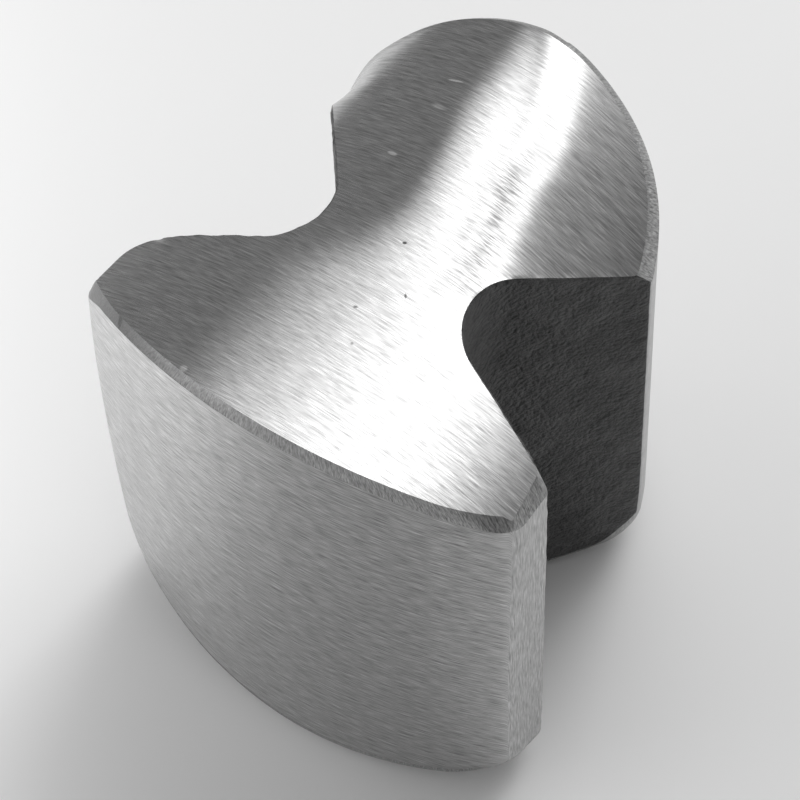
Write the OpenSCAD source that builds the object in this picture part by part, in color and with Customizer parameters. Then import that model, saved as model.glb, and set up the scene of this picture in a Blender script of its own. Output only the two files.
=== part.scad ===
// Hand dolly of the general purpose block form: a one-piece forged steel anvil
// that is held in the hand behind a body panel.
// X runs across the foot, Y from the foot face to the back of the head, Z up.
// The origin is under the middle of the block, where its lower end touches the bench.

/* [Block] */
// Height over the crowned ends, at the foot face
block_h = 75.6; // [64:0.2:88]
// Length from the foot face to the back of the head
block_l = 61.6; // [58:0.2:66]
// How much lower the top's ridge is at the back of the head than at the foot face
ridge_fall = 2.3; // [0.6:0.1:4]

/* [Foot] */
// Width across the foot at mid height
foot_w = 57; // [50:0.5:64]
// Radius of the foot face, seen from above
foot_face_r = 54; // [44:1:110]
// Length of the flat on each side of the foot
foot_flat = 7.5; // [5:0.5:10]
// Draft of the side flats, which lean out towards the top, in degrees
foot_draft = 1; // [0.3:0.1:2]

/* [Waist] */
// Thickness of the neck at its narrowest
neck_w = 20.6; // [16:0.2:26]
// Radius in the bottom of each waist hollow
waist_r = 7.4; // [5:0.2:8]
// Distance from the foot face to the middle of the neck
waist_at = 28.2; // [27:0.2:30]

/* [Head] */
// Diameter of the round head
head_d = 49.4; // [46:0.2:52]
// Angle of the shoulder corners behind the head's centre line
shoulder_angle = 23; // [14:1:28]

/* [Crowned ends] */
// Radius across the top end at the foot face
crown_foot_r = 74; // [68:1:100]
// Radius across the top end at the middle of the head
crown_head_r = 60; // [50:1:64]
// Radius of the roll on each flank of the head
flank_r = 19.5; // [17:0.5:22]
// Radius across the bottom end
base_crown_r = 102; // [80:2:300]

/* [Edges] */
// Inset of the ground bevel along the top of the foot face
face_bevel = 0.5; // [0.3:0.1:1.5]
// Drop of the ground bevel along the top of the foot face
face_bevel_drop = 2; // [1:0.1:3]
// Ground bevel along the top of each side flat
flat_bevel = 2.6; // [1:0.1:3]
// Break on the top edge of the head
head_break = 1.5; // [0.6:0.1:2]
// Inset of the bevel round the bottom of the foot
base_bevel = 1.1; // [0.6:0.1:2]
// Drop of the bevel round the bottom of the foot
base_bevel_drop = 2.4; // [1.2:0.1:3.6]
// Inset of the bevel round the bottom of the head
heel_bevel = 3; // [1:0.1:4]
// Drop of the bevel round the bottom of the head
heel_bevel_drop = 5.6; // [2:0.1:7]
// Break on the upright edges beside the foot face
corner_break = 0.8; // [0.4:0.1:1.5]

/* [Hidden] */
$fn = 120;

foot_r = foot_w / 2;
head_r = head_d / 2;
mid_z = block_h / 2;

// Places along the length
face_y = -block_l / 2;
face_centre_y = face_y + foot_face_r;
corner_y = face_centre_y - sqrt(foot_face_r ^ 2 - foot_r ^ 2);
flare_y = corner_y + foot_flat;
waist_y = face_y + waist_at;
head_y = block_l / 2 - head_r;

// Half width of the foot at a height, between its leaning flats
function foot_half(z) = foot_r + (z - mid_z) * tan(foot_draft);

// Corners of the outline and centre of the waist hollow, right-hand side
foot_corner = [foot_half(block_h), face_y];
flare_corner = [foot_half(block_h), flare_y];
shoulder = [head_r * cos(shoulder_angle), head_y + head_r * sin(shoulder_angle)];
hollow = [neck_w / 2 + waist_r, waist_y];

// Slope of the foot face at its upright edges, seen from above
corner_turn = asin(foot_r / foot_face_r);

// The top's crown tightens from the foot to the head, as a cone does
crown_slope = (crown_foot_r - crown_head_r) / (head_y - face_y);
crown_apex = crown_foot_r / crown_slope;
function top_crown_r(y) = crown_foot_r - crown_slope * (y - face_y);
function crown_drop(x, r) = r - sqrt(r ^ 2 - x ^ 2);

// The top's ridge falls towards the back of the head
ridge_angle = atan(ridge_fall / block_l);
function ridge_drop(y) = ridge_fall * (y - face_y) / block_l;

// The roll on a flank lies inside the crown and ends upright at the head's side
flank_x = head_r - flank_r;
flank_sink = crown_head_r - sqrt((crown_head_r - flank_r) ^ 2 - flank_x ^ 2);

// How far cutting shapes reach past the block
reach = block_h + block_l;
// Metal that the crowns take off each end of the blank at their ridges
end_stock = 2;
// How far the flanks of the waist run inside the round of its hollow
waist_bite = 0.02;

// Point near the waist hollow's round where the line from a corner of the outline ends
function touch(corner, side) =
    let (
        away = corner - hollow,
        near_r = waist_r - waist_bite,
        swing = atan2(away.y, away.x) + side * acos(near_r / norm(away))
    )
    hollow + near_r * [cos(swing), sin(swing)];

// Semi-axes of the ellipsoid that bevels the edge where an upright round wall
// meets a crown: it is centred on the wall's axis, sunk below the crown's ridge,
// and passes the bevel's inner edge on the ridge and beside it, and its outer edge.
function bevel_axes(wall_r, crown, inset, drop, sink, spread) =
    let (
        inner_r = wall_r - inset,
        along = (2 * drop * sink - drop ^ 2) / (wall_r ^ 2 - inner_r ^ 2),
        across = along + sink / crown - (inner_r * spread / (2 * crown)) ^ 2
            - drop / (2 * crown),
        size = along * inner_r ^ 2 + sink ^ 2
    )
    [sqrt(size / across), sqrt(size / along), sqrt(size)];

// Everything on one side of a plane through a point
module beyond(point, turn) {
    translate(point)
        rotate(turn)
            translate([-reach, -reach, 0])
                cube(2 * reach);
}

module outline() {
    right = [foot_corner, flare_corner, touch(flare_corner, -1), touch(shoulder, 1), shoulder];
    last = len(right) - 1;
    // Foot, flares and neck, as far as the head's shoulders
    difference() {
        polygon([
            for (i = [0:last]) right[i],
            for (i = [last:-1:0]) [-right[i].x, right[i].y]
        ]);
        for (side = [-1, 1])
            translate([side * hollow.x, hollow.y])
                circle(r = waist_r);
    }
    // Round head behind the shoulders
    intersection() {
        translate([0, head_y])
            circle(r = head_r, $fn = 180);
        translate([-reach, shoulder.y])
            square(2 * reach);
    }
}

module foot_face() {
    translate([0, face_centre_y])
        circle(r = foot_face_r, $fn = 360);
    translate([-reach, face_centre_y])
        square(2 * reach);
}

module blank() {
    translate([0, 0, -end_stock])
        linear_extrude(block_h + 2 * end_stock)
            intersection() {
                outline();
                foot_face();
            }
}

// In the modules below, an end's ridge is at z = 0 and the block lies under it

// The cone lies with its ridge along Y, and y = 0 is at the foot face
module outside_cone() {
    half_angle = atan(crown_slope);
    axis_l = 2 * reach;
    difference() {
        translate([-reach, -reach, -mid_z])
            cube([2 * reach, 2 * reach, 2 * mid_z]);
        translate([0, crown_apex, 0])
            rotate([90 + half_angle, 0, 0])
                cylinder(h = axis_l, r1 = 0, r2 = axis_l * crown_slope, $fn = 360);
    }
}

// Outside the roll of the head's right flank, from the middle of the neck backwards
module outside_flank() {
    difference() {
        translate([flank_x, waist_at, -flank_sink])
            cube(reach);
        translate([flank_x, reach, -flank_sink])
            rotate([90, 0, 0])
                cylinder(h = 2 * reach, r = flank_r, $fn = 360);
    }
}

module outside_roll() {
    difference() {
        translate([-reach, -reach, -mid_z])
            cube([2 * reach, 2 * reach, 2 * mid_z]);
        translate([0, reach, -base_crown_r])
            rotate([90, 0, 0])
                cylinder(h = 2 * reach, r = base_crown_r, $fn = 720);
    }
}

module round_edge_bevel(centre_y, wall_r, crown, inset, drop, spread, from_y, to_y) {
    sink = block_h / 3;
    difference() {
        translate([-reach, from_y, -sink])
            cube([2 * reach, to_y - from_y, 2 * sink]);
        translate([0, centre_y, -sink])
            scale(bevel_axes(wall_r, crown, inset, drop, sink, spread))
                sphere(r = 1, $fn = 180);
    }
}

// Bevels along both side flats, whose top edges drop from corner_z to flare_z
module flat_edge_bevel(half, slope, corner_z, flare_z, inset, drop) {
    fall = atan((flare_z - corner_z) / foot_flat);
    lean = atan((drop + inset * slope) / inset);
    for (side = [-1, 1])
        beyond([side * half, corner_y, corner_z - drop], [fall, side * lean, 0]);
}

module dolly_block() {
    top_half = foot_half(block_h);
    base_half = foot_half(0);
    color("silver")
        difference() {
            blank();

            // Leaning side flats and the breaks beside the foot face
            for (side = [-1, 1])
                translate([side * foot_r, corner_y, mid_z])
                    rotate([0, side * foot_draft, 0]) {
                        beyond([0, 0, 0], [0, side * 90, 0]);
                        rotate([0, 0, side * (corner_turn - 90) / 2])
                            beyond([-side * corner_break * cos(corner_turn / 2), 0, 0], [0, side * 90, 0]);
                    }

            // Crown of the top end and rolled flanks of the head
            translate([0, face_y, block_h])
                rotate([-ridge_angle, 0, 0]) {
                    outside_cone();
                    outside_flank();
                    mirror([1, 0, 0])
                        outside_flank();
                }

            // Edges of the top end
            translate([0, 0, block_h]) {
                round_edge_bevel(face_centre_y, foot_face_r, crown_foot_r, face_bevel, face_bevel_drop,
                    foot_r / foot_face_r, -reach, flare_y);
                flat_edge_bevel(top_half, top_half / crown_foot_r,
                    -crown_drop(top_half, top_crown_r(corner_y)) - ridge_drop(corner_y),
                    -crown_drop(top_half, top_crown_r(flare_y)) - ridge_drop(flare_y),
                    flat_bevel, flat_bevel);
            }
            translate([0, 0, block_h - ridge_fall])
                round_edge_bevel(head_y, head_r, flank_r, head_break, head_break,
                    cos(shoulder_angle), head_y, reach);

            // Bottom end
            mirror([0, 0, 1]) {
                outside_roll();
                round_edge_bevel(face_centre_y, foot_face_r, base_crown_r, base_bevel, base_bevel_drop,
                    foot_r / foot_face_r, -reach, flare_y);
                round_edge_bevel(head_y, head_r, base_crown_r, heel_bevel, heel_bevel_drop,
                    cos(shoulder_angle), head_y, reach);
                flat_edge_bevel(base_half, base_half / base_crown_r,
                    -crown_drop(base_half, base_crown_r), -crown_drop(base_half, base_crown_r),
                    base_bevel, base_bevel_drop);
            }
        }
}

dolly_block();
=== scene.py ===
"""Studio picture of a forged steel hand dolly.

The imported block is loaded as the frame. A finer mesh of the same block, with ground
bevels, forged skin and small knocks, stands in its place. Sizes below are in
millimetres. X runs across the foot, Y from the foot face to the back of the head
and Z up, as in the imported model. The mesh is built around mid height and then raised
to stand on the floor.
"""

import math

import bpy
import numpy as np
from mathutils import Matrix, Vector


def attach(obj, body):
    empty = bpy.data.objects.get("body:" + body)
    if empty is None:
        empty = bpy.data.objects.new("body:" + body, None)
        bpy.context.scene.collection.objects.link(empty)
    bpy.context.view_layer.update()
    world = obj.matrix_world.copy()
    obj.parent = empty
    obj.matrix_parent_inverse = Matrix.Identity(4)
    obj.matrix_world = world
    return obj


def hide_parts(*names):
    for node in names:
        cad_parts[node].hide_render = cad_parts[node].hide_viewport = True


MM = 0.001

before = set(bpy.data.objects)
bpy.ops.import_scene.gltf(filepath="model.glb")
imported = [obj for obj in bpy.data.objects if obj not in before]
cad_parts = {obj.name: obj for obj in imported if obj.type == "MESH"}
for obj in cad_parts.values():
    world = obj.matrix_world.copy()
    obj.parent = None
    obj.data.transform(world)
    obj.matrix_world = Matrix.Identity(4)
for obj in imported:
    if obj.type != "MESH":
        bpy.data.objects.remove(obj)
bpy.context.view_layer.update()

RIGHT, LEFT = 1, -1

# Plan of the block
HALF_H = 37.23
FOOT_HALF = {RIGHT: 28.5, LEFT: 29.15}
FOOT_BACK_HALF = {RIGHT: 28.34, LEFT: 28.5}
FOOT_FACE_R = 53.8
FOOT_FACE_Y = -30.8
FOOT_FLAT = {RIGHT: 7.46, LEFT: 6.5}
NECK_HALF = 10.3
WAIST_R = 7.45
WAIST_Y = {RIGHT: -2.6, LEFT: -2.35}
HEAD_R = {RIGHT: 24.71, LEFT: 25.4}
HEAD_X = -1.11
HEAD_Y = 6.1
# How far the head swells out of round between its shoulder and its back
HEAD_SWELL = {RIGHT: 0.45, LEFT: 0}
SHOULDER_ANGLE = {RIGHT: 20.2, LEFT: 25.6}

# Walls of the foot: draft, sag of the face and bulge of the side flats
FOOT_DRAFT = 0.0225
FACE_SAG = 0.83
SIDE_BULGE = {RIGHT: 0, LEFT: 0.45}

# How far the upright corners are rounded: at mid height, and how much more at the top
# and at the bottom
FACE_CORNER = {RIGHT: (0.9, 1.6, 6.6), LEFT: (0.9, 0.9, 3.6)}
FLARE_CORNER = {RIGHT: (0.4, 0.2, 0.6), LEFT: (0.4, 3.2, 0.6)}
SHOULDER_CORNER = {RIGHT: (0.5, 0, 1.2), LEFT: (4.5, 0, 1.2)}
# Shares of the half height where the extra rounding starts: top, bottom, and the
# bottom of the shoulders
CORNER_TOP_FROM = 0.4
CORNER_BASE_FROM = 0.72
SHOULDER_BASE_FROM = 0.6

# Crown of the foot's top: its radius shrinks towards the head
CROWN_R = 65.44
CROWN_R_SLOPE = -0.363
CROWN_Y0 = -6.77
# Extra fall towards the foot's sides, as a fourth power that is full at this X
CROWN_FOURTH = {RIGHT: 0.5, LEFT: 1.4}
CROWN_FOURTH_X = 27.58
# The whole top is tilted and slightly hollow along its length
TOP_TILT_X = 0.0239
TOP_TILT_Y = -0.0421
TOP_HOLLOW = 0.0015
# Where the foot's crown starts to pass into the head's ridge, and over what length
HEAD_FROM_Y = -12
HEAD_BLEND = 20

# The head is a rounded ridge, which swings to the left over part of its length
RIDGE_SLOPE = {RIGHT: 0.3, LEFT: 0.43}
RIDGE_WIDTH = 6.3
RIDGE_SWING = 0.2
RIDGE_SWING_Y = 3
RIDGE_SWING_LENGTH = 14
# A second, weaker ridge turns the head's right flank down. It passes through this X
# and Y, leans to the right in front of them and swings to the left behind them
SECOND_SLOPE = 0.24
SECOND_WIDTH = 1.2
SECOND_X = 8.0
SECOND_Y = 12
SECOND_LEAN = 0.28
SECOND_LEAN_LENGTH = 14
SECOND_SWING = 0.018
# A low swelling runs beside the second ridge, on its inner side
SWELLING_HEIGHT = 0.16
SWELLING_OFFSET = 4.3
SWELLING_WIDTH = 1.5
# Both flanks of the head roll over, the left one more and more towards the back
ROLL_DROP = {RIGHT: 0.4, LEFT: 2.0}
ROLL_UNEVEN = 0.13
ROLL_X = 22
ROLL_POWER = 6
# The head's left edge is ground round. Angles are in degrees behind the head's centre,
# and each start or end comes with the length of its blend
FLANK_WIDTH = 8.54
FLANK_DROP = 2.58
FLANK_FROM = (-60, 30)
FLANK_TO = (59.8, 60)
FLANK_FROM_Y = (-2, 8)
# The head's left shoulder corner is ground lower
LEFT_CORNER = (-24.4, 16.7)
LEFT_CORNER_REACH = 7
LEFT_CORNER_DROP = 8.5

# Crown of the bottom end
BASE_R = 101.8
BASE_R_SLOPE = -0.062

# Fineness of the mesh
FACE_STEPS = 64
FLAT_STEPS = 18
FLARE_STEPS = 34
HOLLOW_STEPS = 28
UNDERSIDE_STEPS = 34
HEAD_STEPS = 96
ROLL_STEPS = 8
WALL_STEPS = 80
CAP_COLUMNS = 80

# First stations of the side flat, the flare and the head, counted from the middle of
# the foot face
FLAT_AT = FACE_STEPS
FLARE_AT = FLAT_AT + FLAT_STEPS
HEAD_AT = FLARE_AT + FLARE_STEPS + HOLLOW_STEPS + UNDERSIDE_STEPS

# Bevels as (inset, drop) for the foot face, side flats, waist and head
FACE, FLAT, WAIST, HEAD, BEVEL, TOP, BASE = range(7)
TOP_BEVEL = {
    RIGHT: {FACE: (0.5, 2.0), FLAT: (1.6, 2.4), WAIST: (0.23, 0.23), HEAD: (1.48, 1.55)},
    LEFT: {FACE: (0.5, 2.0), FLAT: (1.7, 4.2), WAIST: (0.23, 0.23), HEAD: (0.31, 0.8)},
}
BASE_BEVEL = {FACE: (1.09, 2.45), FLAT: (1.09, 2.45), WAIST: (0.3, 0.7), HEAD: (3.8, 5.2)}
# Inset of the bevels at the back of the head
TOP_BACK_INSET = 0.89
BASE_BACK_INSET = 3
# Share of the top bevels' section that is round, the rest being straight
TOP_ROUNDNESS = 0.1
# Share of a corner's rounding that the inner edge of the top bevel has
INNER_ROUNDING = 0.25
# Where the top bevel's drop changes evenly: first station, number of stations, drop at
# the first and drop at the last
TOP_DROP_RUNS = {
    RIGHT: [
        (FLAT_AT, FLAT_STEPS + 1, 1.1, 1.5),
        (FLAT_AT - 14, 14, 2.0, 1.1),
        (FLARE_AT, 8, 1.5, 0.23),
        (HEAD_AT + 1, HEAD_STEPS, 1.5, 0.6),
    ],
    LEFT: [
        (FLARE_AT, 12, 4.2, 0.23),
        (FLAT_AT - 10, 10, 2.0, 3.6),
        (HEAD_AT - 14, 15, 0.23, 3.6),
        (HEAD_AT, 25, 3.6, 0.8),
    ],
}
# Stations over which the head's bottom bevel runs out along the shoulder's underside
RUN_OUT_STEPS = 20
# The face's top bevel widens into a facet at its ends: shift of its inner corner in X
# and Y, and stations over which the facet grows along the face
FACET = {RIGHT: (0.7, 1.0), LEFT: (-0.42, 0.5)}
FACET_STEPS = 18
# Passes that even out the drops
DROP_PASSES = 3
# Stations behind the side flat that still have a ground bevel
RIM_STEPS = 8

# Relief of the surface as (height, size of its lumps, seed)
SKIN_COARSE = (0.10, 1.9, 1)
SKIN_FINE = (0.06, 0.9, 2)
SKIN_RIM = (0.08, 0.8, 5)
WAVES = (0.022, 6.5, 3)
WAVE_STRETCH = (1, 1, 2.5)
# How far down from the top the waist's rim is ragged
RIM_DEPTH = 1.5
# Knocks in the top end as (x, y, radius, depth)
DENTS = [(-24.6, -13.6, 1.2, 0.25), (-17.5, -8.5, 1.3, 0.2)]

# X between which a ground surface's tone passes from its left share to its right one.
# This is painted shade: one side of the block is painted darker or lighter.
SHADE_LEFT_X = -20
SHADE_RIGHT_X = 12
# Coarser marks on the head's right flank and on the foot's right side: where they start
# and the length of their rise, first along X and then backwards or forwards along Y
COARSE_FLANK = ((6, 6), (-1, 6))
COARSE_FOOT = ((10, 10), (12, 8))
# Band beside the second ridge with rough marks and painted shade, and where it starts
# and ends along Y
BAND_OFFSET = 3.2
BAND_WIDTH = 1.8
BAND_FROM = (-6, 5)
BAND_TO = (12, 7)

# Place of each zone's material in the mesh's list, in the order of the zones
MATERIAL_OF_ZONE = [1, 1, 3, 1, 2, 0, 0]


def smooth(t):
    t = np.clip(t, 0, 1)
    return t ** 2 * (3 - 2 * t)


def ramp(value, start, length):
    """Smooth rise from 0 at start to 1 a length further."""
    return smooth((value - start) / length)


def arc(centre, radius, start, end, count):
    t = np.linspace(start, end, count + 1)
    return np.asarray(centre) + (radius * np.stack([np.cos(t), np.sin(t)])).T


def line(a, b, count):
    return a + (b - a) * np.linspace(0, 1, count + 1)[:, None]


def outward(a, b):
    """Unit normal on the right of the way from a to b."""
    along = (b - a) / np.hypot(*(b - a))
    return np.array([along[1], -along[0]])


def cross_lines(a, way_a, b, way_b):
    t = np.linalg.solve(np.array([way_a, -way_b]).T, b - a)[0]
    return a + t * way_a


def cross_circle(point, way, centre, radius, last):
    """First or last crossing of a line with a circle."""
    way = way / np.hypot(*way)
    middle = np.dot(centre - point, way)
    off = centre - point - middle * way
    half = math.sqrt(radius ** 2 - np.dot(off, off))
    return point + (middle + (half if last else -half)) * way


def angle_of(point, centre):
    return math.atan2(point[1] - centre[1], point[0] - centre[0])


def outline(side, inset=(0, 0, 0, 0, 0)):
    """Half of the plan from the middle of the foot face to the back of the head, moved
    inwards by an inset for each zone and one for the back. The left half comes
    mirrored onto the right. Returns points and zones."""
    in_face, in_flat, in_waist, in_head, in_back = inset
    face_centre = np.array([0, FOOT_FACE_Y + FOOT_FACE_R])
    face_r = FOOT_FACE_R - in_face
    head = np.array([side * HEAD_X, HEAD_Y])
    head_r = HEAD_R[side] - in_head
    hollow = np.array([NECK_HALF + WAIST_R, WAIST_Y[side]])
    hollow_r = WAIST_R + in_waist
    back_r = HEAD_R[RIGHT] - in_back

    turn = math.asin(FOOT_HALF[side] / FOOT_FACE_R) - math.pi / 2
    corner = face_centre + FOOT_FACE_R * np.array([math.cos(turn), math.sin(turn)])
    flare = np.array([FOOT_BACK_HALF[side], corner[1] + FOOT_FLAT[side]])
    lean = math.radians(SHOULDER_ANGLE[side])
    shoulder = head + HEAD_R[side] * np.array([math.cos(lean), math.sin(lean)])

    def touch(point, way):
        away = point - hollow
        angle = math.atan2(away[1], away[0]) + way * math.acos(WAIST_R / np.hypot(*away))
        return angle % (2 * math.pi)

    low = touch(flare, -1)
    high = touch(shoulder, 1)
    waist = arc(hollow, hollow_r, low, high, HOLLOW_STEPS)
    flat_out = outward(corner, flare)
    flare_out = -np.array([math.cos(low), math.sin(low)])
    under_out = -np.array([math.cos(high), math.sin(high)])
    flat_way = flare - corner
    flat_from = corner - flat_out * in_flat
    corner = cross_circle(flat_from, flat_way, face_centre, face_r, False)
    flare_way = np.array([-flare_out[1], flare_out[0]])
    flare = cross_lines(flat_from, flat_way, waist[0], flare_way)
    under_way = np.array([-under_out[1], under_out[0]])
    shoulder = cross_circle(waist[-1], under_way, head, head_r, True)
    back = math.pi / 2 + math.asin(head[0] / back_r)
    way_back = np.linspace(0, 1, HEAD_STEPS + 1)
    swell = HEAD_SWELL[side] * np.sin(np.pi * way_back) ** 2
    round_r = head_r + (back_r - head_r) * smooth(way_back) + swell
    face_end = angle_of(corner, face_centre)
    pieces = [
        (FACE, arc(face_centre, face_r, -math.pi / 2, face_end, FACE_STEPS)),
        (FLAT, line(corner, flare, FLAT_STEPS)),
        (WAIST, line(flare, waist[0], FLARE_STEPS)),
        (WAIST, waist),
        (WAIST, line(waist[-1], shoulder, UNDERSIDE_STEPS)),
        (HEAD, arc(head, round_r, angle_of(shoulder, head), back, HEAD_STEPS)),
    ]
    points = np.concatenate([p[:-1] for _, p in pieces] + [pieces[-1][1][-1:]])
    zones = np.concatenate([np.full(len(p) - 1, z) for z, p in pieces] + [[HEAD]])
    return points, zones


def second_ridge(y):
    """X of the second ridge."""
    behind = y - SECOND_Y
    lean = SECOND_LEAN * np.clip(behind, -SECOND_LEAN_LENGTH, 0)
    return SECOND_X - lean - SECOND_SWING * np.maximum(behind, 0) ** 2


def foot_fall(x, yy):
    """Fall of the foot's crown at x and at a length yy behind CROWN_Y0."""
    crown = CROWN_R + CROWN_R_SLOPE * yy
    fourth = np.where(x > 0, CROWN_FOURTH[RIGHT], CROWN_FOURTH[LEFT])
    return x ** 2 / (2 * crown) + fourth * (np.abs(x) / CROWN_FOURTH_X) ** 4


def head_fall(x, y):
    """Fall of the head's ridge, second ridge and rolled flanks."""
    ridge = -RIDGE_SWING * np.clip(y - RIDGE_SWING_Y, 0, RIDGE_SWING_LENGTH)
    slope = np.where(x > ridge, RIDGE_SLOPE[RIGHT], RIDGE_SLOPE[LEFT])
    fall = slope * (np.hypot(x - ridge, RIDGE_WIDTH) - RIDGE_WIDTH)
    past = x - second_ridge(y)
    fall = fall + SECOND_SLOPE * (past + np.hypot(past, SECOND_WIDTH)) / 2
    fall = fall - SWELLING_HEIGHT * np.exp(-((past + SWELLING_OFFSET) / SWELLING_WIDTH) ** 2)
    left_roll = ROLL_DROP[LEFT] + ROLL_UNEVEN * np.maximum(y - HEAD_Y, 0)
    roll = np.where(x > 0, ROLL_DROP[RIGHT], left_roll)
    return fall + roll * (np.abs(x) / ROLL_X) ** ROLL_POWER


def left_flank(x, y):
    """Extra fall of the head's left edge."""
    behind = y - HEAD_Y
    inside = HEAD_R[RIGHT] - np.hypot(x, behind)
    angle = np.degrees(np.arctan2(behind, -x))
    start, start_blend = FLANK_FROM
    end, end_blend = FLANK_TO
    share = smooth((end - angle) / end_blend) * np.clip((angle - start) / start_blend, 0, 1)
    t = np.clip((FLANK_WIDTH - inside) / FLANK_WIDTH, 0, 1)
    return FLANK_DROP * (1 - np.sqrt(1 - t ** 2)) * share * (x < 0) * ramp(y, *FLANK_FROM_Y)


def top_height(x, y):
    """Height of the top end over mid height."""
    yy = y - CROWN_Y0
    head = ramp(y, HEAD_FROM_Y, HEAD_BLEND)
    z = HALF_H - foot_fall(x, yy) * (1 - head) - head_fall(x, y) * head
    z = z + TOP_TILT_Y * yy + TOP_TILT_X * x + TOP_HOLLOW * yy ** 2 / 2
    near = 1 - np.hypot(x - LEFT_CORNER[0], y - LEFT_CORNER[1]) / LEFT_CORNER_REACH
    return z - left_flank(x, y) - LEFT_CORNER_DROP * np.maximum(near, 0) ** 2


def base_height(x, y):
    """Height of the bottom end over mid height."""
    crown = BASE_R + BASE_R_SLOPE * (y - CROWN_Y0)
    return -HALF_H + x ** 2 / (2 * crown)


def eased(values, passes):
    for _ in range(passes):
        values[1:-1] = 0.25 * values[:-2] + 0.5 * values[1:-1] + 0.25 * values[2:]
    return values


def rounded(plan, corner, reach):
    """The plan with one of its corners rounded as far as reach along both sides."""
    steps = np.hypot(*np.diff(plan, axis=0).T)
    along = np.concatenate([[0], np.cumsum(steps)])
    along = along - along[corner]
    ends = []
    for way in (-1, 1):
        ends.append(np.array([np.interp(way * reach, along, plan[:, axis]) for axis in (0, 1)]))
    near = np.abs(along) < reach
    t = ((along[near] + reach) / (2 * reach))[:, None]
    out = plan.copy()
    out[near] = (1 - t) ** 2 * ends[0] + 2 * t * (1 - t) * plan[corner] + t ** 2 * ends[1]
    return out


def softened(plan, side, z, share=1):
    """The plan with its upright corners rounded as they are at height z. share is the
    part of the rounding that the corner beside the foot face has."""
    up = z / HALF_H
    high = ramp(up, CORNER_TOP_FROM, 1 - CORNER_TOP_FROM)
    low = ramp(-up, CORNER_BASE_FROM, 1 - CORNER_BASE_FROM)
    shoulder_low = ramp(-up, SHOULDER_BASE_FROM, 1 - SHOULDER_BASE_FROM)
    face = np.dot(FACE_CORNER[side], (1, high, low))
    flare = np.dot(FLARE_CORNER[side], (1, high, low))
    shoulder = np.dot(SHOULDER_CORNER[side], (1, high, shoulder_low))
    plan = rounded(plan, FLAT_AT, face * share)
    plan = rounded(plan, HEAD_AT, shoulder)
    return rounded(plan, FLARE_AT, flare)


def bevel_drops(side, zones):
    """Drops of the top bevel and of the bottom bevel at every station."""
    top = eased(np.array([TOP_BEVEL[side][z][1] for z in zones], float), DROP_PASSES)
    for first, count, start, end in TOP_DROP_RUNS[side]:
        top[first:first + count] = np.linspace(start, end, count)
    base = eased(np.array([BASE_BEVEL[z][1] for z in zones], float), DROP_PASSES)
    waist_drop, head_drop = BASE_BEVEL[WAIST][1], BASE_BEVEL[HEAD][1]
    run_out = smooth(np.linspace(0, 1, RUN_OUT_STEPS + 1)) ** 3
    base[HEAD_AT - RUN_OUT_STEPS:HEAD_AT + 1] = waist_drop + (head_drop - waist_drop) * run_out
    base[HEAD_AT:] = head_drop
    return top, base


def half_rings(side):
    """Rings of the half from the inner edge of the top bevel down to the inner edge
    of the bottom bevel, as an array of level, point, (x, y, z)."""
    points, zones = outline(side)
    top_in = np.array([TOP_BEVEL[side][z][0] for z in range(4)] + [TOP_BACK_INSET])
    base_in = np.array([BASE_BEVEL[z][0] for z in range(4)] + [BASE_BACK_INSET])
    top_drop, base_drop = bevel_drops(side, zones)
    facet = np.zeros((len(points), 2))
    facet[FLAT_AT - FACET_STEPS:FLAT_AT, 1] = FACET[side][1] * np.linspace(0, 1, FACET_STEPS) ** 2
    facet[FLAT_AT:FLARE_AT] = np.linspace(1, 0, FLAT_STEPS)[:, None] * FACET[side]
    to_waist = WAIST_Y[side] - points[:, 1]
    foot_share = np.clip(to_waist / (WAIST_Y[side] - FOOT_FACE_Y), 0, 1)
    past_corner = (points[:, 1] - points[FLAT_AT, 1]) / FOOT_FLAT[side]
    face_share = np.clip(1 - past_corner, 0, 1)

    def leaned(plan, z):
        """The plan's points as the foot's leaning and bowed walls place them at z."""
        up = z / HALF_H
        out = plan.copy()
        bulge = SIDE_BULGE[side] * (1 - up ** 2) * foot_share ** 2
        out[:, 0] = plan[:, 0] * (1 + FOOT_DRAFT * up * foot_share) + bulge
        out[:, 1] = plan[:, 1] + FACE_SAG * up ** 2 * face_share
        return out

    def ring(plan, height, drop):
        z = height(plan[:, 0] * side, plan[:, 1]) + drop
        plan = leaned(plan, z)
        z = height(plan[:, 0] * side, plan[:, 1]) + drop
        return np.column_stack([plan, z])

    levels = []
    for j in range(ROLL_STEPS + 1):
        t = (1 - math.cos(math.pi * j / ROLL_STEPS)) / 2
        turn = t * math.pi / 2
        inward = TOP_ROUNDNESS * (1 - math.sin(turn)) + (1 - TOP_ROUNDNESS) * (1 - t)
        down = TOP_ROUNDNESS * (1 - math.cos(turn)) + (1 - TOP_ROUNDNESS) * t
        plan, _ = outline(side, top_in * inward)
        plan = softened(plan, side, HALF_H, INNER_ROUNDING + (1 - INNER_ROUNDING) * t)
        levels.append(ring(plan + facet * (1 - t), top_height, -top_drop * down))
    base_levels = []
    for j in range(ROLL_STEPS + 1):
        turn = j / ROLL_STEPS * math.pi / 2
        plan, _ = outline(side, base_in * (1 - math.sin(turn)))
        plan = softened(plan, side, -HALF_H)
        base_levels.append(ring(plan, base_height, base_drop * (1 - math.cos(turn))))
    high = levels[-1][:, 2]
    low = base_levels[-1][:, 2]
    for j in range(1, WALL_STEPS):
        z = high + (low - high) * j / WALL_STEPS
        levels.append(np.column_stack([leaned(softened(points, side, z.mean()), z), z]))
    levels.extend(base_levels[::-1])
    return np.array(levels) * [side, 1, 1], zones


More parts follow.
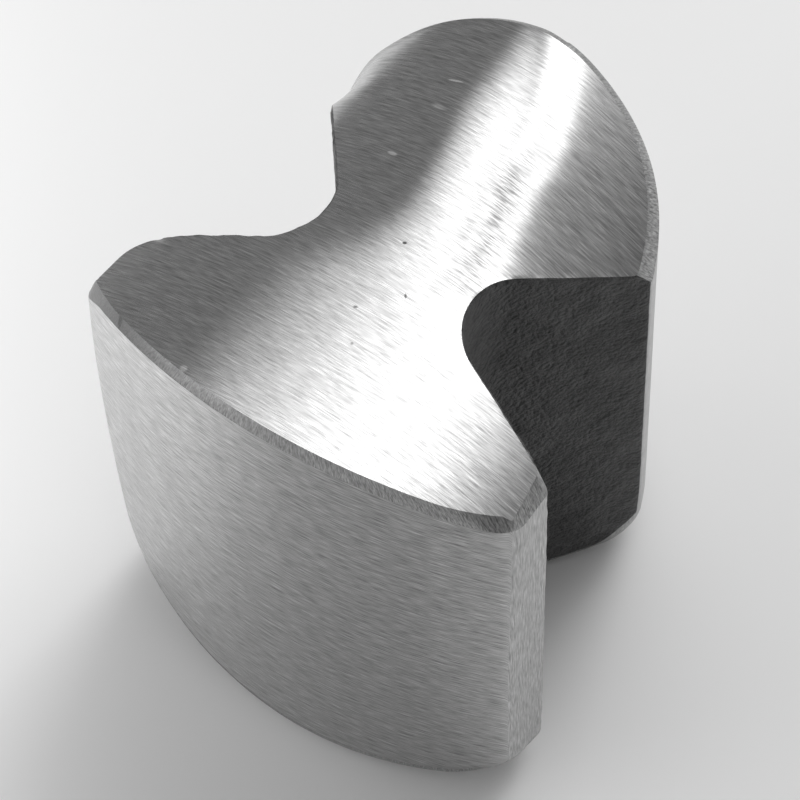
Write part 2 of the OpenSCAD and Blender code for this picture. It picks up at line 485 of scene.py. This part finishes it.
def lattice(cells, seed):
    """A repeatable value from 0 to 1 for every whole-number cell."""
    cells = cells.astype(np.int64)
    h = cells[:, 0] * 374761393 + cells[:, 1] * 668265263 + cells[:, 2] * 2147483647
    h = h + seed * 1274126177
    h = (h ^ (h >> 13)) * 1103515245 & 0x7FFFFFFF
    return ((h ^ (h >> 16)) & 0xFFFF) / 65535.0


def relief(points, height, lump, seed):
    """Smooth random relief up to a height, with lumps of one size."""
    q = points / lump
    low = np.floor(q)
    f = q - low
    f = f * f * (3 - 2 * f)
    total = np.zeros(len(q))
    for corner in np.ndindex(2, 2, 2):
        share = np.prod(np.where(corner, f, 1 - f), axis=1)
        total += share * lattice(low + corner, seed)
    return height * (2 * total - 1)


def lengths(half):
    """Way along a half's widest ring at every station."""
    steps = np.hypot(*np.diff(half[ROLL_STEPS, :, :2], axis=0).T)
    return np.concatenate([[0], np.cumsum(steps)])


def build_block():
    """Vertices, faces, zones and mark directions of the whole block, and the number of
    vertices in a ring. A mark direction is two lengths at every face corner: along the
    marks and across them."""
    right, right_zones = half_rings(RIGHT)
    left, _ = half_rings(LEFT)
    n = right.shape[1]
    ring = np.concatenate([right, left[:, -2:0:-1]], axis=1)
    ring_zones = np.concatenate([right_zones, right_zones[-2:0:-1]])
    levels, count = ring.shape[:2]
    i = np.arange(count)
    j = (i + 1) % count
    on_right = i < n - 1
    edge_zone = np.where(on_right, ring_zones[i], ring_zones[j])
    station = np.where(i < n, i, count - i)
    beside_flat = (station >= FLARE_AT) & (station < FLARE_AT + RIM_STEPS)
    top_rim_zone = np.where((edge_zone == WAIST) & ~beside_flat, WAIST, BEVEL)
    right_length, left_length = lengths(right), lengths(left)
    s_i = np.where(on_right, right_length[station], -left_length[station])
    s_j = np.where(on_right, right_length[station[j]], -left_length[station[j]])
    along = np.stack([s_i, s_i, s_j, s_j], 1)
    heights = np.linalg.norm(np.diff(ring, axis=0), axis=2)
    across = np.concatenate([np.zeros((1, count)), np.cumsum(heights, axis=0)])

    vertices = [ring.reshape(-1, 3)]
    faces, face_zones, marks = [], [], []
    for level in range(levels - 1):
        a, b = level * count, (level + 1) * count
        faces.append(np.stack([a + i, b + i, b + j, a + j], 1))
        in_top = level < ROLL_STEPS
        in_base = level >= levels - 1 - ROLL_STEPS
        if in_top:
            face_zones.append(top_rim_zone)
        elif in_base:
            face_zones.append(np.full(count, BEVEL))
        else:
            face_zones.append(edge_zone)
        upper, lower = across[level], across[level + 1]
        down = np.stack([upper[i], lower[i], lower[j], upper[j]], 1)
        upright = (edge_zone == FLAT) | in_top | in_base
        turned = np.stack([down, along], 2)
        marks.append(np.where(upright[:, None, None], turned, np.stack([along, down], 2)))

    used = levels * count
    ends = ((0, top_height, False, TOP), (levels - 1, base_height, True, BASE))
    for level, height, flip, zone in ends:
        base = level * count
        rows = [np.array([base])]
        for k in range(1, n - 1):
            t = np.linspace(0, 1, CAP_COLUMNS + 1)[1:-1, None]
            xy = ring[level, count - k, :2] * (1 - t) + ring[level, k, :2] * t
            vertices.append(np.column_stack([xy, height(xy[:, 0], xy[:, 1])]))
            inner = used + np.arange(CAP_COLUMNS - 1)
            rows.append(np.concatenate([[base + count - k], inner, [base + k]]))
            used += CAP_COLUMNS - 1
        rows.append(np.array([base + n - 1]))
        plan = np.concatenate(vertices)[:, :2]
        cap_faces = []
        for low, high in zip(rows[1:-2], rows[2:-1]):
            cap_faces.append(np.stack([low[:-1], low[1:], high[1:], high[:-1]], 1))
        first = np.full(CAP_COLUMNS, rows[0][0])
        last = np.full(CAP_COLUMNS, rows[-1][0])
        cap_faces.append(np.stack([first, rows[1][1:], rows[1][:-1]], 1))
        cap_faces.append(np.stack([last, rows[-2][:-1], rows[-2][1:]], 1))
        for group in cap_faces:
            group = group[:, ::-1] if flip else group
            faces.append(group)
            face_zones.append(np.full(len(group), zone))
            marks.append(plan[group])
    return np.concatenate(vertices), faces, np.concatenate(face_zones), marks, count


def dent(vertices, x, y, radius, depth):
    """Depth of a round dent in the top end at every vertex."""
    away = np.hypot(vertices[:, 0] - x, vertices[:, 1] - y) / radius
    return depth * np.maximum(1 - away ** 2, 0) ** 2 * (vertices[:, 2] > HALF_H)


def coarse_areas(x, y):
    """Share of the coarser marks: the head's right flank and the foot's right side."""
    flank = ramp(x, *COARSE_FLANK[0]) * ramp(y, *COARSE_FLANK[1])
    foot = ramp(x, *COARSE_FOOT[0]) * ramp(-y, *COARSE_FOOT[1])
    return np.maximum(flank, foot)


def shaded_rough_band(x, y):
    """Share of the band beside the second ridge with rough marks and painted shade."""
    band = np.exp(-((x - second_ridge(y) + BAND_OFFSET) / BAND_WIDTH) ** 2)
    return band * ramp(y, *BAND_FROM) * (1 - ramp(y, *BAND_TO))


def forged_share(mesh, zones, count):
    """Share of forged faces around every vertex."""
    corner_vertices = np.empty(len(mesh.loops), np.int32)
    mesh.loops.foreach_get("vertex_index", corner_vertices)
    forged = np.zeros(count)
    np.add.at(forged, corner_vertices, zones == WAIST)
    touched = np.zeros(count)
    np.add.at(touched, corner_vertices, 1)
    return forged / touched


def make_mesh():
    vertices, faces, zones, marks, ring_size = build_block()
    vertices = vertices + [0, 0, HALF_H]
    x, y, z = vertices.T
    face_list = [f for block in faces for f in block.tolist()]
    mesh = bpy.data.meshes.new("forged_dolly")
    mesh.from_pydata((vertices * MM).tolist(), [], face_list)
    mesh.update()
    layer = mesh.uv_layers.new(name="marks")
    uv = np.concatenate([m.reshape(-1) for m in marks]).astype(np.float32)
    layer.data.foreach_set("uv", uv)
    materials = np.take(MATERIAL_OF_ZONE, zones).astype(np.int32)
    mesh.polygons.foreach_set("material_index", materials)
    mesh.polygons.foreach_set("use_smooth", np.ones(len(mesh.polygons), bool))

    # The forged waist is pitted, and the ground faces are slightly wavy
    corner_zones = np.repeat(zones, [len(f) for f in face_list])
    forged = forged_share(mesh, corner_zones, len(vertices))
    normals = np.empty(len(vertices) * 3, np.float32)
    mesh.vertices.foreach_get("normal", normals)
    rim = ramp(z - HALF_H - top_height(x, y), -RIM_DEPTH, RIM_DEPTH)
    skin = relief(vertices, *SKIN_COARSE) + relief(vertices, *SKIN_FINE)
    skin = skin + rim * relief(vertices, *SKIN_RIM)
    wave = relief(vertices / WAVE_STRETCH, *WAVES)
    out = skin * forged + wave * (1 - forged)
    moved = vertices + normals.reshape(-1, 3) * out[:, None]
    for mark in DENTS:
        moved[:, 2] -= dent(moved, *mark)
    mesh.vertices.foreach_set("co", (moved * MM).reshape(-1))

    # The bevels of the top end keep crisp edges
    ends = np.empty(len(mesh.edges) * 2, np.int32)
    mesh.edges.foreach_get("vertices", ends)
    ring_of = ends.reshape(-1, 2) // ring_size
    crisp = np.isin(ring_of[:, 0], [0, ROLL_STEPS]) & (ring_of[:, 0] == ring_of[:, 1])
    mesh.edges.foreach_set("use_edge_sharp", crisp)

    # Shares for the shader: coarser marks, and the band of rough marks with painted shade
    for name, area in (("coarse", coarse_areas), ("shaded_rough_band", shaded_rough_band)):
        attribute = mesh.attributes.new(name, "FLOAT", "POINT")
        attribute.data.foreach_set("value", area(x, y).astype(np.float32))
    mesh.update()
    return mesh


def node(tree, kind, **values):
    made = tree.nodes.new(kind)
    for key, value in values.items():
        setattr(made, key, value)
    return made


def feed(tree, value, socket):
    """Set a socket to a number, or link another socket to it."""
    if isinstance(value, (int, float)):
        socket.default_value = value
    else:
        tree.links.new(value, socket)


def mix(tree, a, b, share):
    out = node(tree, "ShaderNodeMix")
    for value, name in ((share, "Factor"), (a, "A"), (b, "B")):
        feed(tree, value, out.inputs[name])
    return out.outputs["Result"]


def times(tree, a, b):
    out = node(tree, "ShaderNodeMath", operation="MULTIPLY")
    feed(tree, a, out.inputs[0])
    feed(tree, b, out.inputs[1])
    return out.outputs["Value"]


def remap(tree, value, from_low, from_high, to_low, to_high):
    out = node(tree, "ShaderNodeMapRange")
    out.inputs["From Min"].default_value = from_low
    out.inputs["From Max"].default_value = from_high
    out.inputs["To Min"].default_value = to_low
    out.inputs["To Max"].default_value = to_high
    tree.links.new(value, out.inputs["Value"])
    return out.outputs["Result"]


def grey(tree, value):
    out = node(tree, "ShaderNodeCombineColor")
    for channel in ("Red", "Green", "Blue"):
        tree.links.new(value, out.inputs[channel])
    return out.outputs["Color"]


def mapped(tree, vector, kind, location, rotation, scale):
    out = node(tree, "ShaderNodeMapping", vector_type=kind)
    out.inputs["Location"].default_value = location
    out.inputs["Rotation"].default_value = rotation
    out.inputs["Scale"].default_value = scale
    tree.links.new(vector, out.inputs["Vector"])
    return out.outputs["Vector"]


def noise(tree, vector, scale, detail, roughness=0.5):
    out = node(tree, "ShaderNodeTexNoise")
    out.inputs["Scale"].default_value = scale
    out.inputs["Detail"].default_value = detail
    out.inputs["Roughness"].default_value = roughness
    tree.links.new(vector, out.inputs["Vector"])
    return out.outputs["Fac"]


def streaks(tree, uv, along, across, detail, seed):
    """Noise drawn out along the marks. along and across are its sizes in mm, and the
    seed picks its own stretch of the noise."""
    place = (seed * 7.3, seed * 3.1, seed)
    vector = mapped(tree, uv, "POINT", place, (0, 0, 0), (1 / along, 1 / across, 1))
    return noise(tree, vector, 1, detail, 0.6)


def spot(tree, place, x, y, z, length, width, turn):
    """Mask of one elongated spot, 1 in its middle."""
    centre = (x * MM, y * MM, z * MM)
    size = (length * MM, width * MM, 3 * MM)
    vector = mapped(tree, place, "TEXTURE", centre, (0, 0, math.radians(turn)), size)
    away = node(tree, "ShaderNodeVectorMath", operation="LENGTH")
    tree.links.new(vector, away.inputs[0])
    return remap(tree, away.outputs["Value"], 0.6, 1.1, 1, 0)


def add_bump(tree, shader, height, depth):
    bump = node(tree, "ShaderNodeBump")
    bump.inputs["Distance"].default_value = depth * MM
    tree.links.new(height, bump.inputs["Height"])
    tree.links.new(bump.outputs["Normal"], shader.inputs["Normal"])


def new_material(name, metallic):
    material = bpy.data.materials.new(name)
    material.use_nodes = True
    tree = material.node_tree
    shader = tree.nodes["Principled BSDF"]
    shader.inputs["Metallic"].default_value = metallic
    place = node(tree, "ShaderNodeTexCoord").outputs["Object"]
    return material, tree, shader, place


def ground_steel(name, tone, roughness, stretch, length, width, depth, contrast,
                 shade_spread=(1, 1), painted_spots=()):
    """Steel ground with a belt: marks of a length and width in mm, and their depth.
    spread is the tone's share at the left and the right of the block, a painted shade that
    makes one side darker or lighter. A surface with painted spots also gets the mesh's
    coarse areas and its band of rough marks with painted shade."""
    material, tree, shader, place = new_material(name, 1)
    shader.inputs["Anisotropic"].default_value = stretch
    shader.inputs["Anisotropic Rotation"].default_value = 0.25
    tangent = node(tree, "ShaderNodeTangent", direction_type="UV_MAP", uv_map="marks")
    tree.links.new(tangent.outputs["Tangent"], shader.inputs["Tangent"])
    uv = node(tree, "ShaderNodeUVMap", uv_map="marks").outputs["UV"]

    coarse = streaks(tree, uv, length, width * 1.6, 3, 1)
    fine = streaks(tree, uv, length * 0.5, width * 0.8, 2, 2)
    cloud = streaks(tree, uv, length * 1.6, width * 12, 2, 3)
    scratches = streaks(tree, uv, length * 0.8, width * 0.8, 1, 4)
    scratches = remap(tree, scratches, 0.58, 0.72, 0, 1)
    marks = mix(tree, mix(tree, coarse, fine, 0.55), scratches, 0.15)
    grain_with_shade = remap(tree, marks, 0.25, 0.65, 1 - contrast, 1 + contrast)
    if painted_spots:
        strong = 1.15 * contrast
        clouded = mix(tree, marks, cloud, 0.1)
        coarse_marks = remap(tree, clouded, 0.3, 0.62, 1 - strong, 1 + strong)
        share = node(tree, "ShaderNodeAttribute", attribute_name="coarse")
        grain_with_shade = mix(tree, grain_with_shade, coarse_marks, share.outputs["Fac"])
        # The band's marks are darker on average: rough grain with painted shade
        shaded_band_marks = remap(tree, mix(tree, fine, coarse, 0.4), 0.38, 0.58, 0.24, 0.9)
        share = node(tree, "ShaderNodeAttribute", attribute_name="shaded_rough_band")
        grain_with_shade = mix(tree, grain_with_shade, shaded_band_marks, share.outputs["Fac"])

    split = node(tree, "ShaderNodeSeparateXYZ")
    tree.links.new(place, split.inputs["Vector"])
    # Painted shade: the tone runs from its left share to its right one across X
    tones = (tone * shade_spread[0], tone * shade_spread[1])
    shade = remap(tree, split.outputs["X"], SHADE_LEFT_X * MM, SHADE_RIGHT_X * MM, *tones)
    colour = times(tree, grain_with_shade, shade)
    # Painted spots: shade in small pits and a nick, and glints
    for *where, gain in painted_spots:
        mask = spot(tree, place, *where)
        colour = times(tree, colour, remap(tree, mask, 0, 1, 1, gain))
    tree.links.new(grey(tree, colour), shader.inputs["Base Color"])
    rough = remap(tree, cloud, 0.3, 0.7, roughness * 0.93, roughness * 1.07)
    tree.links.new(rough, shader.inputs["Roughness"])
    add_bump(tree, shader, marks, depth)
    return material


def forged_skin(name, tone):
    """Scale-dark forged surface with small pits and slanted flow marks."""
    material, tree, shader, place = new_material(name, 0.7)
    small = noise(tree, place, 1 / (0.6 * MM), 3)
    large = noise(tree, place, 1 / (12 * MM), 1)
    slant = (0, math.radians(-50), 0)
    size = (6 * MM, 2 * MM, 1.2 * MM)
    drawn = noise(tree, mapped(tree, place, "TEXTURE", (0, 0, 0), slant, size), 1, 4)
    mottled = mix(tree, mix(tree, drawn, small, 0.4), large, 0.3)
    colour = remap(tree, mottled, 0.35, 0.65, tone * 0.6, tone * 1.5)
    tree.links.new(grey(tree, colour), shader.inputs["Base Color"])
    tree.links.new(remap(tree, small, 0.3, 0.7, 0.5, 0.7), shader.inputs["Roughness"])
    add_bump(tree, shader, small, 0.6)
    return material


# Painted spots as (x, y, z, length, width, turn in degrees, gain of the tone): a gain
# below 1 paints the shade in a small pit, a gain above 1 paints a glint
END_PAINTED_SPOTS = [
    (0.2, -1.6, 74.5, 0.28, 0.2, 30, 0.15),
    (4.2, -7.1, 74.5, 0.34, 0.16, -53, 0.25),
    (-8.3, 8, 73, 0.7, 0.25, 0, 2.2),
    (-7.7, 19.5, 72, 1, 0.15, 10, 2.6),
    (-7.2, 15.6, 72, 1.2, 0.3, 0, 1.7),
    (-10.2, -28.1, 74, 0.5, 0.5, 0, 1.7),
    (0.6, -11.4, 75, 0.3, 0.2, 30, 0.4),
    (3, -15.4, 75, 0.2, 0.2, 0, 0.5),
]
# Painted shade in a nick at the left end of the foot face's top bevel
BEVEL_PAINTED_NICK = [(-20.9, -25.4, 70, 0.45, 0.8, 0, 0.02)]

mesh = make_mesh()
# Painted shade: the ends' tone is lighter on the left, the bevels' much darker there
mesh.materials.append(ground_steel(
    "ground_ends", tone=0.43, roughness=0.27, stretch=0.75, length=4.5, width=0.18,
    depth=0.007, contrast=0.42, shade_spread=(1.15, 1), painted_spots=END_PAINTED_SPOTS))
mesh.materials.append(ground_steel(
    "ground_walls", tone=0.44, roughness=0.33, stretch=0.6, length=4.5, width=0.2,
    depth=0.035, contrast=0.6))
mesh.materials.append(ground_steel(
    "ground_bevels", tone=0.3, roughness=0.3, stretch=0.3, length=1.5, width=0.24,
    depth=0.05, contrast=0.5, shade_spread=(0.18, 1.2), painted_spots=BEVEL_PAINTED_NICK))
mesh.materials.append(forged_skin("forged_skin", tone=0.085))
block = bpy.data.objects.new("forged_dolly", mesh)
bpy.context.scene.collection.objects.link(block)
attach(block, "root")
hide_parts("dolly_block")

# The camera is aimed near the middle of the block, and then by AIM_RIGHT and AIM_UP to
# the right and up in the picture
AZIMUTH = math.radians(37.61)
ELEVATION = math.radians(61.21)
ROLL = math.radians(-2.75)
DISTANCE = 506.4
AIM_RIGHT = 1.78
AIM_UP = 4.29
back = Vector((
    math.sin(AZIMUTH) * math.cos(ELEVATION),
    -math.cos(AZIMUTH) * math.cos(ELEVATION),
    math.sin(ELEVATION),
))
level = Vector((math.cos(AZIMUTH), math.sin(AZIMUTH), 0))
upright = back.cross(level)
right = math.cos(ROLL) * level + math.sin(ROLL) * upright
up = -math.sin(ROLL) * level + math.cos(ROLL) * upright
target = right * AIM_RIGHT + up * AIM_UP + Vector((0, CROWN_Y0, HALF_H))
camera_data = bpy.data.cameras.new("camera")
camera_data.lens = 196.05
camera_data.sensor_width = 36
camera_data.clip_end = 20
camera = bpy.data.objects.new("camera", camera_data)
turn = Matrix((right, up, back)).transposed().to_4x4()
camera.matrix_world = Matrix.Translation((target + back * DISTANCE) * MM) @ turn
bpy.context.scene.collection.objects.link(camera)
bpy.context.scene.camera = camera

# Floor
FLOOR_HALF = 3
floor_corners = [
    (-FLOOR_HALF, -FLOOR_HALF, 0), (FLOOR_HALF, -FLOOR_HALF, 0),
    (FLOOR_HALF, FLOOR_HALF, 0), (-FLOOR_HALF, FLOOR_HALF, 0),
]
floor_mesh = bpy.data.meshes.new("floor")
floor_mesh.from_pydata(floor_corners, [], [(0, 1, 2, 3)])
floor = bpy.data.objects.new("floor", floor_mesh)
floor_material = bpy.data.materials.new("pale_floor")
floor_material.use_nodes = True
floor_shader = floor_material.node_tree.nodes["Principled BSDF"]
floor_shader.inputs["Base Color"].default_value = (0.9, 0.9, 0.9, 1)
floor_shader.inputs["Roughness"].default_value = 0.9
floor_mesh.materials.append(floor_material)
bpy.context.scene.collection.objects.link(floor)


def shade_across(data, profile):
    """Give a light a brightness profile across its width."""
    data.use_nodes = True
    tree = data.node_tree
    place = tree.nodes.new("ShaderNodeNewGeometry")
    split = tree.nodes.new("ShaderNodeSeparateXYZ")
    curve = tree.nodes.new("ShaderNodeValToRGB")
    tree.links.new(place.outputs["Parametric"], split.inputs["Vector"])
    tree.links.new(split.outputs["X"], curve.inputs["Fac"])
    tree.links.new(curve.outputs["Color"], tree.nodes["Emission"].inputs["Strength"])
    elements = curve.color_ramp.elements
    for position, _ in profile[1:-1]:
        elements.new(position)
    for element, (position, brightness) in zip(elements, profile):
        element.position = position
        element.color = (brightness, brightness, brightness, 1)


def softbox(name, position, target, size, power, profile=None):
    """A rectangular light. Its places and size are in metres."""
    data = bpy.data.lights.new(name, "AREA")
    data.shape = "RECTANGLE"
    data.size, data.size_y = size
    data.energy = power
    if profile:
        shade_across(data, profile)
    lamp = bpy.data.objects.new(name, data)
    lamp.location = position
    way = Vector(target) - Vector(position)
    lamp.rotation_euler = way.to_track_quat("-Z", "Y").to_euler()
    bpy.context.scene.collection.objects.link(lamp)


# Brightness of the key light as (place across its width, brightness)
KEY_PROFILE = [
    (0, 0.023), (0.11, 0.077), (0.19, 0.27), (0.25, 0.54), (0.31, 0.77),
    (0.38, 1), (0.54, 1), (0.61, 0.77), (0.7, 0.6), (1, 0.03),
]
softbox("key", (-0.01, 0.3, 0.45), (-0.01, 0.05, 0.05), (0.68, 0.42), 2.66, KEY_PROFILE)
softbox("back", (-0.15, 1.2, 0.55), (0, 0, 0.1), (0.6, 1), 5.5)
softbox("low_left", (-0.135, -0.09, 0.035), (0, -0.02, 0.02), (0.22, 0.06), 0.19)
world = bpy.data.worlds.new("studio")
world.use_nodes = True
sky = world.node_tree.nodes["Background"]
sky.inputs["Color"].default_value = (1, 1, 1, 1)
sky.inputs["Strength"].default_value = 0.29
bpy.context.scene.world = world
bpy.context.scene.view_settings.view_transform = "Standard"
